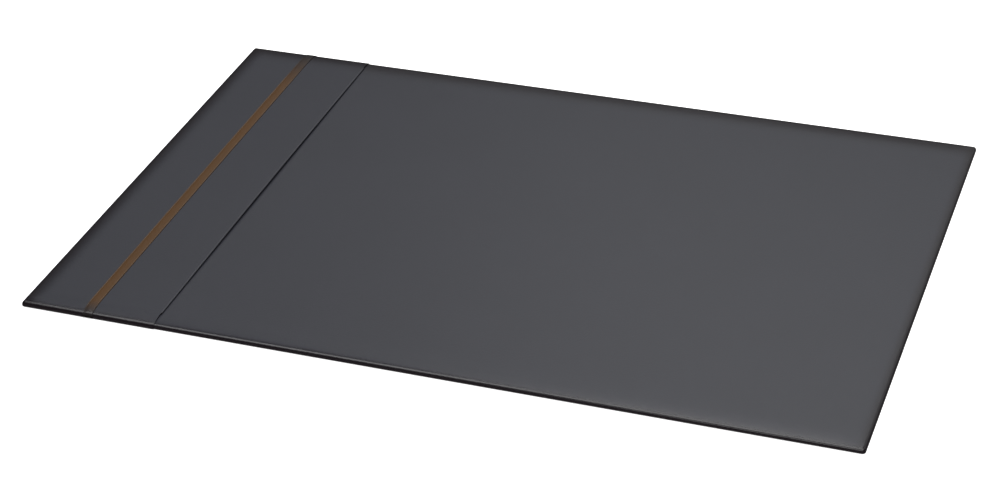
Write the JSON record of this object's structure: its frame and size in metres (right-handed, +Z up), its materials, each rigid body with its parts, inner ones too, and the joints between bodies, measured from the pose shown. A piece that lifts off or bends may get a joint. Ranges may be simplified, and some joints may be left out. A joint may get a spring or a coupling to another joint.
{
  "type": "desk mat",
  "caption": "Flat padded leather desk mat with a document pocket along its left side, marked by a stitched accent strip.",
  "frame": {"origin": "middle of the underside of the mat, on the surface it lies on", "axes": "+X along the width, with the pocket on the -X side; +Y to the back; +Z up out of the desk"},
  "size_m": [0.6, 0.4008, 0.0064],
  "materials": {
    "cover_leather": "fine grain, satin",
    "strip_leather": "smooth, satin",
    "thread": "waxed polyester thread",
    "backing_suede": "napped microfibre, matte",
    "lining_cloth": "plain woven, matte",
    "greyboard": "pressed fibreboard, matte",
    "card": "matte",
    "foam": "closed-cell foam sheet, matte"
  },
  "bodies": {
    "root": {"core_board": "greyboard", "foam_pad": "foam", "top_cover": "cover_leather", "infill_card": "card", "base_cover": "backing_suede", "pocket_board": "card", "pocket_lining": "lining_cloth", "pocket_cover": "cover_leather", "accent_strip": "strip_leather", "strip_stitching": "thread"}
  },
  "joints": []
}
